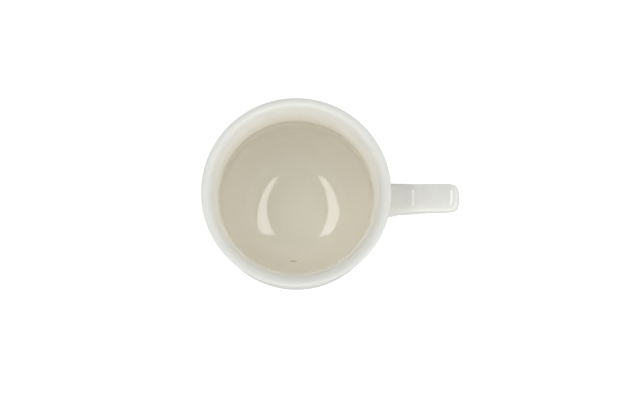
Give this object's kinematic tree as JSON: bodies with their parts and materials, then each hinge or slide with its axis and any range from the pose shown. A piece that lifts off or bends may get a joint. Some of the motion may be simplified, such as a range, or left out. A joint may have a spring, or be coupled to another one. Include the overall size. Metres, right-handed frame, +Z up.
{
  "type": "shaving mug",
  "caption": "Ivory glazed ceramic shaving mug with a flared lip, a full belly, a low foot ring and an angular strap handle.",
  "frame": {"origin": "centre of the bounding box at the table plane; the mug's own axis stands at x = -17.55 mm, y = 0", "axes": "+Z up along the mug's axis, +X from the mug's axis out through the handle, +Y across the handle's width"},
  "size_m": [0.123, 0.088, 0.082],
  "materials": {
    "ivory_glaze": "gloss ivory glaze over pale earthenware",
    "bare_clay": "unglazed, ground matt"
  },
  "bodies": {
    "root": {"mug_body": "ivory_glaze", "foot_ring": "bare_clay", "foot_slip": "ivory_glaze", "handle": "ivory_glaze", "upper_handle_slip": "ivory_glaze", "lower_handle_slip": "ivory_glaze"}
  },
  "joints": []
}
